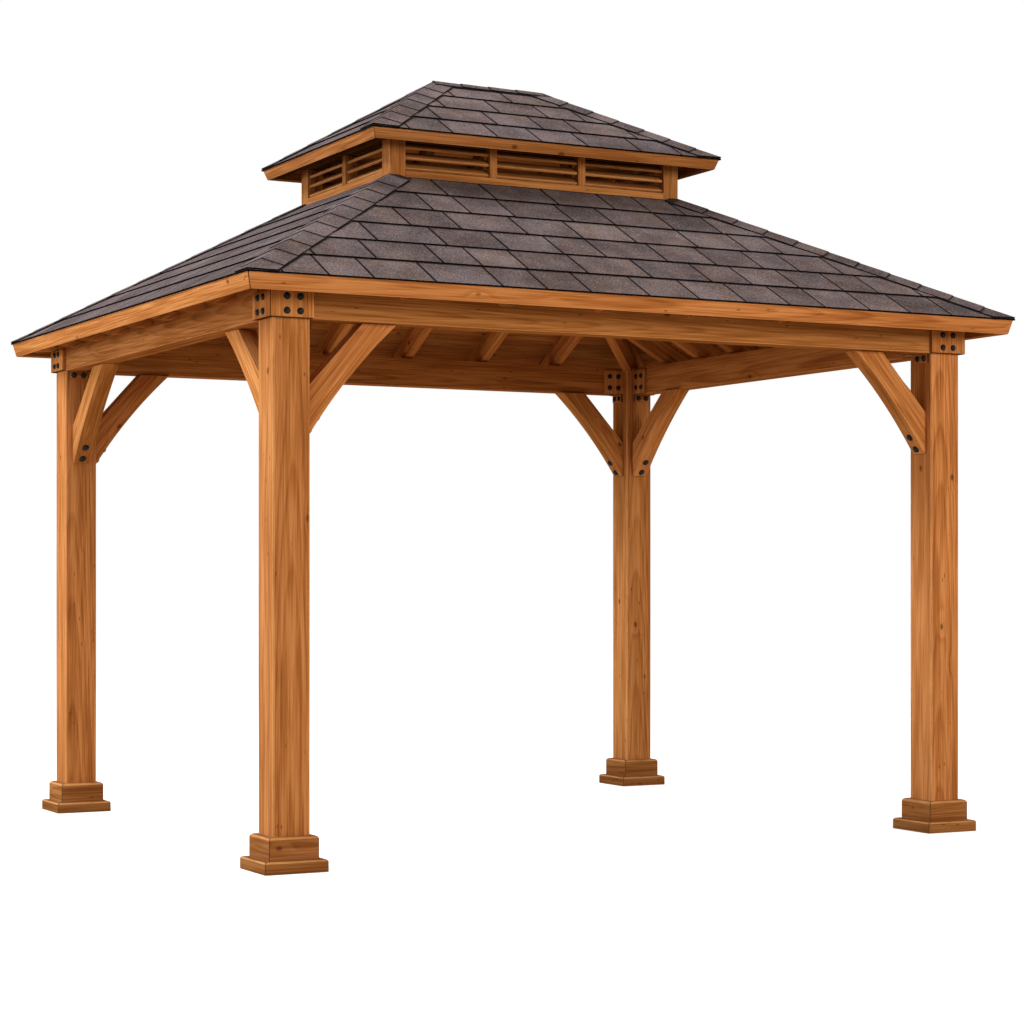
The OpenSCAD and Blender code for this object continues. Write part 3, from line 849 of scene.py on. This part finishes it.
# %% Cut a slope into boards
BOARD_WIDTH = 0.134
BOARD_GAP = 0.0015
TOUCH = 0.000001


def trimmed(piece, cuts):
    """Cuts a piece off at planes and closes the cuts. Gives None if nothing is left of it."""
    for point, normal in cuts:
        sides = [(vertex.co - point).dot(normal) for vertex in piece.data.vertices]
        if min(sides) > -TOUCH:
            bpy.data.objects.remove(piece)
            return None
        if max(sides) > TOUCH:
            take_up(piece)
            bpy.ops.object.mode_set(mode="EDIT")
            bpy.ops.mesh.select_all(action="SELECT")
            bpy.ops.mesh.bisect(plane_co=point, plane_no=normal, use_fill=True, clear_outer=True)
            bpy.ops.object.mode_set(mode="OBJECT")
    return piece


def joined(pieces, name):
    """Many pieces as one, with one name."""
    take_up(pieces[0])
    for piece in pieces:
        piece.select_set(True)
    bpy.ops.object.join()
    pieces[0].name = name
    pieces[0].data.name = name
    return pieces[0]


def copy_of(piece):
    """A copy with its own mesh."""
    made = piece.copy()
    made.data = piece.data.copy()
    bpy.context.scene.collection.objects.link(made)
    return made


def board_deck(plane, node):
    """Cuts a slope's slab into boards along the eave."""
    slab = merged_copy(node, node + "_slab")
    way_up = plane.place(0, 0, 0).to_3x3() @ Vector((0, 1, 0))
    boards = []
    for number in range(math.ceil(plane.length / BOARD_WIDTH)):
        low = plane.place(0, number * BOARD_WIDTH + BOARD_GAP / 2, 0).translation
        high = plane.place(0, (number + 1) * BOARD_WIDTH - BOARD_GAP / 2, 0).translation
        boards.append(trimmed(copy_of(slab), [(low, -way_up), (high, way_up)]))
    bpy.data.objects.remove(slab)
    return joined([board for board in boards if board], node + "_boards")


for plane, side in zip(main_planes, SIDES):
    deck_node = f"{side}_sheathing"
    finish_boards(board_deck(plane, deck_node), deck_node, deck_wood, edge=0.002)
dress(["cupola_sheathing"], deck_wood, edge=0.002)

# %% [markdown]
# ## Shingle finish
# The shingles are felt with mineral granules: a mottled grey-brown face, and a black edge where the
# felt is cut. The face has a tone for each tab, soft brown and blue-grey patches, fine speckles and
# a few pale specks. The edge is found by its direction: faces that don't look up are cut edges.
# Beside the joints and just below the next course, the face is darkened as painted shade.

# %% Granules group
GRANULE_SIZES = (150.0, 430.0)
COARSE_SHARE = 0.6
PATCH_SCALES = (6.0, 10.0)
SPECK_CELLS = 105.0
SPECK_SHARE = 0.16
SPECK_REACH = (0.42, 0.22)


def build_granules():
    """The group: fine speckle, patches of tone and of hue, and pale specks over the surface."""
    group, given = open_group("granules", {"Place": "NodeSocketVector"})
    coarse, fine, tones, hues = [
        cloud(group, given["Place"], scale, detail=3.0, roughness=0.6)[0]
        for scale in (*GRANULE_SIZES, *PATCH_SCALES)
    ]
    cells = put(group, "ShaderNodeTexVoronoi", {"Vector": given["Place"], "Scale": SPECK_CELLS}).outputs
    chance = put(group, "ShaderNodeSeparateColor", {0: cells["Color"]}).outputs[0]
    kept = sums(group, "GREATER_THAN", chance, 1 - SPECK_SHARE)
    return close_group(group, {
        "Speckle": shared(group, coarse, fine, COARSE_SHARE),
        "Tones": tones,
        "Hues": hues,
        "Specks": times(group, remap(group, cells["Distance"], *SPECK_REACH), kept),
    })


granules = build_granules()

# %% Shingle material
SHINGLE_BROWN = ((0.029, 0.019, 0.016), (0.115, 0.077, 0.066), (0.252, 0.178, 0.156))
SHINGLE_BLUE = ((0.025, 0.019, 0.020), (0.097, 0.075, 0.077), (0.222, 0.178, 0.183))
TAB_TONE_SHARE = 0.19
PATCH_TONE_SHARE = 0.25
SPECKLE_TONE_SHARE = 0.56
PATCH_TONE_RANGE = (0.3, 0.7)
SPECKLE_RANGE = (0.36, 0.64)
TAB_HUE_SHARE = 0.35
PATCH_HUE_RANGE = (0.35, 0.65)
SPECK_COLOUR = (0.36, 0.29, 0.27)
SPECK_SHOWS = 0.4
CUT_EDGE_AND_SHADE_COLOUR = (0.005, 0.004, 0.004)
CUT_FACING = (0.62, 0.72)
SHADE_BELOW_NEXT_COURSE = (0.016, 0.002)
SHADE_BESIDE_JOINTS = (0.945, 0.985)
PAINTED_SHADE_SHOWS = 0.7
SHINGLE_ROUGH = (0.3, 0.7, 0.95, 0.8)
SHINGLE_RELIEF = (0.5, 0.002)


def shingle_material():
    """Granules in a tone for each tab, with black cut edges and painted shade close to the tabs around."""
    made, tree = new_material("mineral_shingle")
    place = put(tree, "ShaderNodeTexCoord").outputs["Object"]
    tab_tone, tab_hue, _ = split(tree, stored(tree, "tab_seed"))
    grains = put(tree, "ShaderNodeGroup", {"Place": place}, node_tree=granules)
    speckle, tones, hues, specks = grains.outputs
    tone = times(tree, remap(tree, tones, *PATCH_TONE_RANGE), PATCH_TONE_SHARE)
    tone = sums(tree, "MULTIPLY_ADD", tab_tone, TAB_TONE_SHARE, tone)
    tone = sums(tree, "MULTIPLY_ADD", remap(tree, speckle, *SPECKLE_RANGE), SPECKLE_TONE_SHARE, tone)
    hue = shared(tree, tab_hue, remap(tree, hues, *PATCH_HUE_RANGE), TAB_HUE_SHARE)
    brown, blue = [colour_steps(tree, tone, shades) for shades in (SHINGLE_BROWN, SHINGLE_BLUE)]
    face = mixed(tree, times(tree, specks, SPECK_SHOWS), mixed(tree, hue, brown, blue), SPECK_COLOUR)
    # Painted shade: the face darkens beside the joints and just below the lower edge of the next course.
    across, up, _ = split(tree, stored(tree, "tab_at"))
    beside = remap(tree, sums(tree, "ABSOLUTE", across), *SHADE_BESIDE_JOINTS)
    painted_shade = sums(tree, "MAXIMUM", beside, remap(tree, up, *SHADE_BELOW_NEXT_COURSE))
    face = mixed(tree, times(tree, painted_shade, PAINTED_SHADE_SHOWS), face, CUT_EDGE_AND_SHADE_COLOUR)
    facing = split(tree, put(tree, "ShaderNodeNewGeometry").outputs["True Normal"])[2]
    colour = mixed(tree, remap(tree, facing, *CUT_FACING), CUT_EDGE_AND_SHADE_COLOUR, face)
    rough = remap(tree, speckle, *SHINGLE_ROUGH)
    close_surface(tree, colour, rough, MATT, speckle, SHINGLE_RELIEF)
    return made


shingle_face = shingle_material()
print("shingle finish:", shingle_face.name)

# %% Felt material
FELT_COLOUR = (0.012, 0.010, 0.010)
FELT_STEPS = (0.3, 0.7)
FELT_ROUGH = 0.9
FELT_SHINE = 0.1


def shade_felt_material():
    """Black felt with a faint nap, which shows in the joints and beside the caps as painted shade."""
    made, tree = new_material("painted_shade_felt")
    place = put(tree, "ShaderNodeTexCoord").outputs["Object"]
    nap = cloud(tree, place, GRANULE_SIZES[0], detail=3.0)[0]
    colour = colour_steps(tree, nap, (CUT_EDGE_AND_SHADE_COLOUR, FELT_COLOUR), FELT_STEPS)
    close_surface(tree, colour, FELT_ROUGH, FELT_SHINE)
    return made


painted_shade_felt = shade_felt_material()
print("felt finish:", painted_shade_felt.name)

# %% [markdown]
# ## One shingle
# A tab is a thin rectangle, cut from felt, with slightly worn edges. It is modelled once at its usual
# size, lying on its face with its lower edge at the origin, so that it can be laid by a matrix:
# stretched to its width, put in its course and tipped so that it laps over the one below.
# Its hidden head is drawn down thinner, so that the courses lie close on one another.
# Each corner keeps its place on the tab as an attribute: how far across it is, as a share of half
# the width, and how far below the lower edge of the next course.

# %% Model the tab
TAB_WIDTH = 0.230
TAB_LAP = 0.035
TAB_BUTT = 0.0055
TAB_HEAD = 0.0015
TAB_WORN = 0.0005
TAB_SEED = 23
tab_dice = np.random.default_rng(TAB_SEED)


def model_tab(name, width, length, butt, head, material):
    """A worn thin wedge with the middle of its thick lower edge at the origin."""
    bpy.ops.object.select_all(action="DESELECT")
    bpy.ops.mesh.primitive_cube_add(size=1, location=(0, length / 2, butt / 2))
    tab = bpy.context.object
    tab.name = name
    tab.scale = (width, length, butt)
    bpy.ops.object.transform_apply(location=True, rotation=False, scale=True)
    pick_points(tab, lambda place: place.y > length / 2 and place.z > butt / 2)
    bpy.ops.transform.translate(value=(0, 0, head - butt))
    bpy.ops.object.mode_set(mode="OBJECT")
    worn = tab.modifiers.new("worn_edges", "BEVEL")
    worn.width = min(TAB_WORN, head / 3)
    worn.segments = 1
    bpy.ops.object.modifier_apply(modifier=worn.name)
    tab.data.materials.append(material)
    corners = [(2 * vertex.co.x / width, length - TAB_LAP - vertex.co.y, 0) for vertex in tab.data.vertices]
    store(tab.data, "tab_at", np.array(corners))
    return tab


def laid(pattern, matrix, cuts):
    """A copy of a pattern, put in place and cut off at planes."""
    piece = copy_of(pattern)
    piece.data.transform(matrix)
    return trimmed(piece, cuts)


print("usual tab:", TAB_WIDTH, "m wide")

# %% [markdown]
# ## Courses, hip caps and ridge caps
# Courses start at the eave and climb the slope, each lapping over the last. Tabs differ in width, so
# the joints don't line up. Under each course lies a strip of black felt, which shows in the joints as
# painted shade. Hips and ridge are covered by caps that run along them: each side of a cap lies on
# its own slope and is cut at the hip, so that the two sides meet there in a fold. The caps lie on a
# packing of black felt, a little wider than they are, which draws a line of painted shade along them.

# %% Lay the courses
FELT_THICK = 0.001
TAB_LIFT = 0.0025
TAB_GAP = 0.0045
TAB_WIDTHS = (0.165, 0.305)
BUTT_WANDER = 0.0015


def courses(plane, count, cuts):
    """Tabs of mixed widths on felt, a painted shade in the joints, in courses climbing the slope, the
    lowest flat.
    """
    past = DRIP / math.cos(plane.incline)
    exposure = (plane.length + past) / count
    length = exposure + TAB_LAP
    tab = model_tab("tab", TAB_WIDTH, length, TAB_BUTT, TAB_HEAD, shingle_face)
    felt = model_tab("felt", 2 * (plane.half + DRIP), length, FELT_THICK, FELT_THICK, painted_shade_felt)
    pieces = []
    for course in range(count):
        up = course * exposure - past
        lift = TAB_LIFT if course else 0.0
        tilt = math.asin(lift / length)
        # Painted shade: the black felt under each course shows in the joints.
        pieces.append(laid(felt, plane.place(0, up + BUTT_WANDER, lift, tilt=tilt), cuts))
        reach = plane.half + DRIP - (plane.half - plane.head_half) * max(up, 0) / plane.length
        x = -reach - tab_dice.uniform(0, TAB_WIDTHS[0])
        while x < reach:
            width = tab_dice.uniform(*TAB_WIDTHS)
            wander = tab_dice.uniform(-BUTT_WANDER, BUTT_WANDER) if course else 0.0
            spot = plane.place(x + width / 2, up + wander, FELT_THICK + lift, tilt=tilt)
            stretch = Matrix.Diagonal(((width - TAB_GAP) / TAB_WIDTH, 1, 1, 1))
            pieces.append(laid(tab, spot @ stretch, cuts))
            x += width
    for pattern in (tab, felt):
        bpy.data.objects.remove(pattern)
    return pieces


print("tab widths:", TAB_WIDTHS)

# %% Lay the caps
HIP_CAP_SHOWS = 0.088
HIP_OVERRUN = 1.4
RIDGE_CAP_SHOWS = 0.036
RIDGE_RAISE = 0.0025
CAP_OVER = 0.020
CAP_BUTT = 0.0040
CAP_HEAD = 0.0025
CAP_LIFT = 0.0015
CAP_EXPOSURE = 0.140
CAP_SINK = 0.0015
CAP_BASE = FELT_THICK + TAB_LIFT + TAB_BUTT - CAP_SINK
SHADE_PACKING_SHOWS = 0.005
SHADE_PACKING_START = 0.060


def caps(plane, start, end, inside, shows, base, cuts):
    """Caps in a row on their packing of painted shade, from one point to another. inside points on to the
    slope.
    """
    run = end - start
    way = run.normalized()
    swing = math.atan2(-way.x, way.y)
    count = round(run.length / CAP_EXPOSURE)
    exposure = run.length / count
    length = exposure + TAB_LAP
    cap = model_tab("cap", shows + CAP_OVER, length, CAP_BUTT, CAP_HEAD, shingle_face)
    # Painted shade: the black packing shows as a line along the caps' free edges.
    packed = run.length - SHADE_PACKING_START
    shade_packing = model_tab("shade_packing", shows + CAP_OVER + SHADE_PACKING_SHOWS, packed, base, base, painted_shade_felt)
    spot = start + way * SHADE_PACKING_START + inside * (shows + SHADE_PACKING_SHOWS - CAP_OVER) / 2
    pieces = [laid(shade_packing, plane.place(spot.x, spot.y, 0, swing), cuts)]
    for number in range(count):
        spot = start + way * (exposure * number) + inside * (shows - CAP_OVER) / 2
        matrix = plane.place(spot.x, spot.y, base + CAP_LIFT, swing, math.asin(CAP_LIFT / length))
        pieces.append(laid(cap, matrix, cuts))
    for pattern in (cap, shade_packing):
        bpy.data.objects.remove(pattern)
    return pieces


def hip_caps(plane, cuts):
    """Caps along both hips of a slope."""
    past = DRIP / math.cos(plane.incline)
    pieces = []
    for side in (-1, 1):
        head = Vector((side * plane.head_half, plane.length))
        foot = Vector((side * plane.half, 0))
        way = (head - foot).normalized()
        inside = Vector((-side * way.y, side * way.x))
        start = foot - way * past * HIP_OVERRUN
        pieces += caps(plane, start, head, inside, HIP_CAP_SHOWS, CAP_BASE, cuts)
    return pieces


def ridge_caps(plane, cuts):
    """Caps along the ridge, lapping the same way on both slopes."""
    side = 1 if plane.turn == 0 else -1
    start = Vector((-side * plane.head_half, plane.length))
    end = Vector((side * plane.head_half, plane.length))
    return caps(plane, start, end, Vector((0, -1)), RIDGE_CAP_SHOWS, CAP_BASE + RIDGE_RAISE, cuts)


def shingled(plane, count):
    """Everything that covers one slope, as a list of pieces."""
    cuts = plane.cuts(DRIP)
    pieces = courses(plane, count, cuts) + hip_caps(plane, cuts)
    if plane.name in ("front_upper", "back_upper"):
        pieces += ridge_caps(plane, cuts)
    return [piece for piece in pieces if piece]


print("caps every", CAP_EXPOSURE, "m")

# %% Cover both roofs
MAIN_COURSES = 6
UPPER_COURSES = 4


def finish_shingles(pieces, node):
    """Joins a covering's pieces, gives each tab its random tone and lets it stand for its node."""
    cover = joined(pieces, node + "_laid")
    found, order = np.unique(board_numbers(cover.data), return_inverse=True)
    store(cover.data, "tab_seed", tab_dice.random((len(found), 3))[order])
    stand_for(cover, node)
    print(f"{cover.name}: {len(found)} pieces, {len(cover.data.polygons)} faces")


for plane, side in zip(main_planes, SIDES):
    finish_shingles(shingled(plane, MAIN_COURSES), f"{side}_shingles")
upper_pieces = [piece for plane in upper_planes for piece in shingled(plane, UPPER_COURSES)]
finish_shingles(upper_pieces, "cupola_shingles")

# %% [markdown]
# ## Bolts
# Black domed bolts hold the plates, the cleats and the feet of the braces. One bolt is modelled from
# a disc: its top is inset to leave a washer's rim, then drawn up and in by steps to a low dome.
# The copies are set on the faces that they hold, in the places where the frame has those faces.

# %% Bolt finish
PAINT_COLOURS = ((0.007, 0.007, 0.007), (0.026, 0.024, 0.023))
PAINT_STEPS = (0.35, 0.75)
PAINT_SCALE = 170.0
PAINT_ROUGH = (0.3, 0.7, 0.46, 0.62)
PAINT_RELIEF = (0.2, 0.0006)
PAINT_SHINE = 0.10


def bolt_material():
    """Black paint over metal, with worn patches."""
    made, tree = new_material("black_bolt")
    place = put(tree, "ShaderNodeTexCoord").outputs["Object"]
    worn = cloud(tree, place, PAINT_SCALE, detail=3.0)[0]
    colour = colour_steps(tree, worn, PAINT_COLOURS, PAINT_STEPS)
    close_surface(tree, colour, remap(tree, worn, *PAINT_ROUGH), PAINT_SHINE, worn, PAINT_RELIEF)
    return made


black_bolt = bolt_material()
print("bolt finish:", black_bolt.name)

# %% Model the bolt
BOLT_RADIUS = 0.0135
BOLT_SIDES = 16
BOLT_ANGLE = math.radians(40)
WASHER_THICK = 0.0025
WASHER_RIM = 0.0022
DOME_STEPS = ((0.0038, 0.93), (0.0022, 0.76), (0.0010, 0.50))


def model_bolt():
    """A washer and a domed head that stand up along Z from the origin."""
    bpy.ops.object.select_all(action="DESELECT")
    bpy.ops.mesh.primitive_cylinder_add(
        vertices=BOLT_SIDES, radius=BOLT_RADIUS, depth=WASHER_THICK, location=(0, 0, WASHER_THICK / 2))
    bolt = bpy.context.object
    bolt.name = "bolt"
    bpy.ops.object.transform_apply(location=True, rotation=False, scale=False)
    pick_points(bolt, lambda place: place.z > WASHER_THICK / 2)
    bpy.ops.mesh.inset(thickness=WASHER_RIM)
    for height, share in DOME_STEPS:
        bpy.ops.mesh.extrude_region_move(TRANSFORM_OT_translate={"value": (0, 0, height)})
        bpy.ops.transform.resize(value=(share, share, 1))
    bpy.ops.object.mode_set(mode="OBJECT")
    bpy.ops.object.shade_smooth_by_angle(angle=BOLT_ANGLE)
    return bolt


bolt = model_bolt()
print("bolt faces:", len(bolt.data.polygons))

# %% Corners that are bolted
beam_low, beam_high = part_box("front_beam")
beam_foot = beam_low.z
beam_depth = beam_high.y - beam_low.y


@dataclass
class Joint:
    """One face pair at a corner: out points away from the gazebo, inward along the beam."""

    post: Vector
    half_post: float
    out: Vector
    inward: Vector
    plate_face: float


def corner_joints():
    """The two joints at each of the four corners."""
    for corner in CORNERS:
        low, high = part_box(f"{corner}_post")
        post = Vector(((low.x + high.x) / 2, (low.y + high.y) / 2, 0))
        outs = (Vector((math.copysign(1, post.x), 0, 0)), Vector((0, math.copysign(1, post.y), 0)))
        plate_low, plate_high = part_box(f"{corner}_corner_plates")
        for out, other in (outs, outs[::-1]):
            face = max(plate_low.dot(out), plate_high.dot(out))
            yield Joint(post, (high.x - low.x) / 2, out, -other, face)


joints = list(corner_joints())
print("joints at the corners:", len(joints))

# %% Bolt places on the plates and cleats
OUTER_APART = 0.027
OUTER_HEIGHTS = (0.025, 0.079)
INNER_LENGTH = 0.110
INNER_THICK = 0.016
INNER_APART = 0.026
INNER_HEIGHTS = (0.0335, 0.0935)
CLEAT_THICK = 0.010
CLEAT_INSET = 0.014
CLEAT_APART = 0.023
CLEAT_HEIGHTS = (-0.020,)


def bolt_grid(middle, along, apart, heights, normal):
    """Two columns of bolts on a face, at heights over the beam's foot: their places and direction."""
    return [
        (middle + along * shift + Vector((0, 0, beam_foot + height)), normal)
        for shift in (-apart, apart)
        for height in heights
    ]


def outer_bolts(joint):
    """Four bolts on an outer corner plate."""
    middle = joint.post + joint.out * (joint.plate_face - joint.post.dot(joint.out))
    return bolt_grid(middle, joint.inward, OUTER_APART, OUTER_HEIGHTS, joint.out)


def inner_bolts(joint):
    """Four bolts on the plate inside a beam's end."""
    along = joint.inward * (joint.half_post + INNER_LENGTH / 2)
    face = joint.out * (joint.half_post - beam_depth - INNER_THICK)
    return bolt_grid(joint.post + along + face, joint.inward, INNER_APART, INNER_HEIGHTS, -joint.out)


def cleat_bolts(joint):
    """Two bolts on the cleat under a beam's end."""
    face = joint.inward * (joint.half_post + CLEAT_THICK)
    along = joint.out * (joint.half_post - beam_depth / 2 - CLEAT_INSET)
    return bolt_grid(joint.post + face + along, joint.out, CLEAT_APART, CLEAT_HEIGHTS, joint.inward)


print("bolts at a joint:", [len(bolts(joints[0])) for bolts in (outer_bolts, inner_bolts, cleat_bolts)])

# %% Bolt places on the braces
BRACE_TOE = 0.011
BRACE_ARCH = 0.018
BRACE_BOLT_HEIGHTS = (0.020, 0.070)

brace_low, brace_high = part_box("front_left_braces")
post_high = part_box("front_left_post")[1]
brace_drop = beam_foot - brace_low.z
brace_reaches = brace_high - post_high


def brace_arc(reach):
    """Centre and radius of the arched underside: x is the distance from the post, y the drop."""
    chord = Vector((reach - BRACE_TOE, brace_drop))
    radius = (chord.length_squared / 4 + BRACE_ARCH ** 2) / (2 * BRACE_ARCH)
    middle = Vector(((reach + BRACE_TOE) / 2, -brace_drop / 2))
    away = Vector((chord.y, -chord.x)).normalized()
    return middle + away * (radius - BRACE_ARCH), radius


def brace_bolts(joint):
    """Two bolts on the underside of a brace, near its toe."""
    centre, radius = brace_arc(abs(joint.inward.dot(brace_reaches)))
    for height in BRACE_BOLT_HEIGHTS:
        drop = height - brace_drop
        reach = centre.x - math.sqrt(radius ** 2 - (drop - centre.y) ** 2)
        normal = (centre - Vector((reach, drop))) / radius
        spot = joint.post + joint.inward * (joint.half_post + reach)
        yield spot + Vector((0, 0, beam_foot + drop)), joint.inward * normal.x + Vector((0, 0, normal.y))


print(f"braces reach {brace_reaches.x:.3f} m or {brace_reaches.y:.3f} m and drop {brace_drop:.3f} m")

# %% Set the bolts
BOLT_SEAT = 0.0003
BRACE_BOLT_SIZE = 1.2


def set_bolts(name, bolts_at, size=1.0):
    """One joined piece with the bolts of every joint, each standing on its face."""
    pieces = []
    for spot, normal in [place for joint in joints for place in bolts_at(joint)]:
        turn = normal.to_track_quat("Z", "Y").to_matrix().to_4x4() @ Matrix.Scale(size, 4)
        pieces.append(laid(bolt, Matrix.Translation(spot - normal * BOLT_SEAT) @ turn, []))
    group = joined(pieces, name)
    group.data.materials.append(black_bolt)
    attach(group, "root")
    print(f"{name}: {len(pieces)} bolts")


set_bolts("outer_plate_bolts", outer_bolts)
set_bolts("inner_plate_bolts", inner_bolts)
set_bolts("cleat_bolts", cleat_bolts)
set_bolts("brace_bolts", brace_bolts, BRACE_BOLT_SIZE)
bpy.data.objects.remove(bolt)
